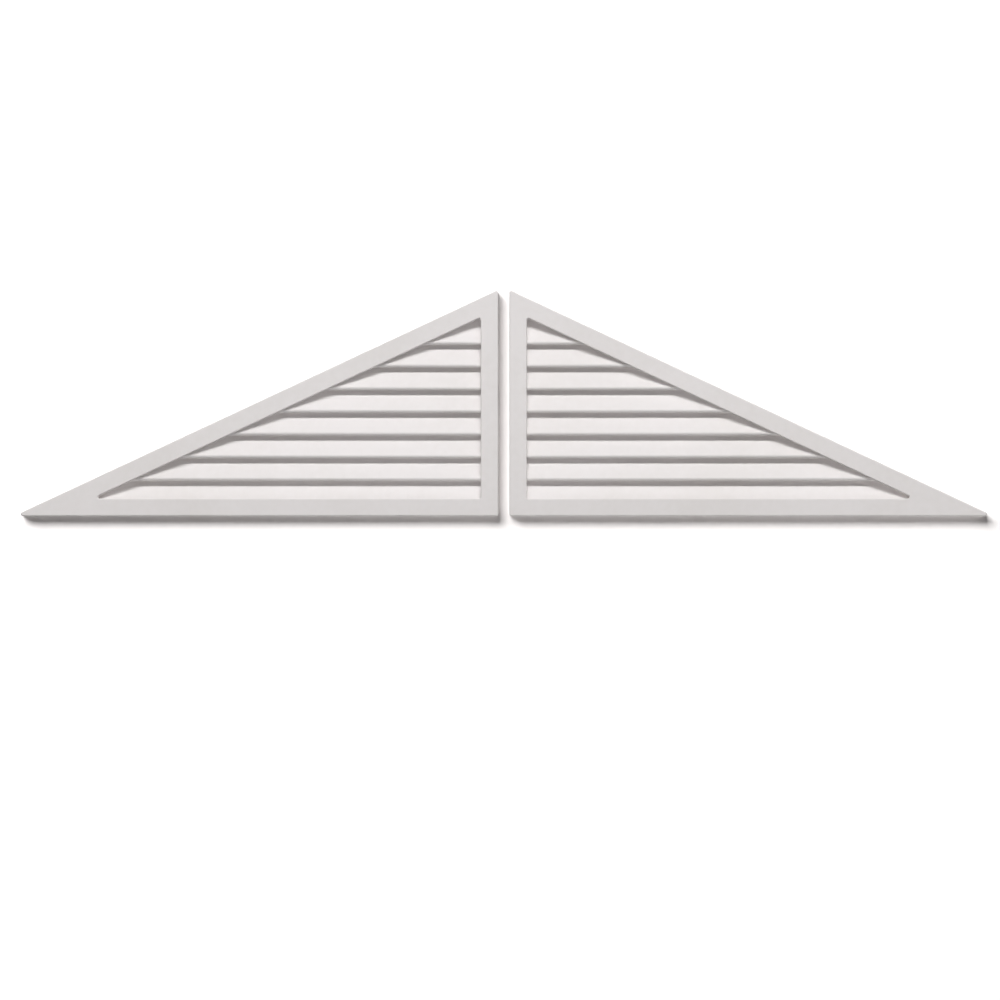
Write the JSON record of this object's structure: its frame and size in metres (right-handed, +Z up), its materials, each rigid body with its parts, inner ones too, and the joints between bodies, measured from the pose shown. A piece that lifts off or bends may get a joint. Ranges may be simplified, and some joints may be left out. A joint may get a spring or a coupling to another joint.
{
  "type": "gable vent",
  "caption": "Low triangular louvred gable vent in two mirrored moulded halves, with overlapping weather slats in flat frames and insect mesh stapled behind them.",
  "frame": {"origin": "centre of the pair's bottom edge, midway between the two halves and midway through the depth", "axes": "+X to the right along the bottom edge as seen from the front, +Y from the louvred front towards the wall, +Z up"},
  "size_m": [2.431, 0.041, 0.5661],
  "materials": {
    "moulded_polyurethane": "rigid polyurethane foam with a smooth skin and white factory primer",
    "insect_mesh": "woven aluminium wire, mill finish",
    "galvanised_wire": "galvanised staple wire"
  },
  "bodies": {
    "root": {"left_louver_panel": "moulded_polyurethane", "right_louver_panel": "moulded_polyurethane", "left_insect_screen": "insect_mesh", "right_insect_screen": "insect_mesh", "left_screen_staples": "galvanised_wire", "right_screen_staples": "galvanised_wire"}
  },
  "joints": []
}
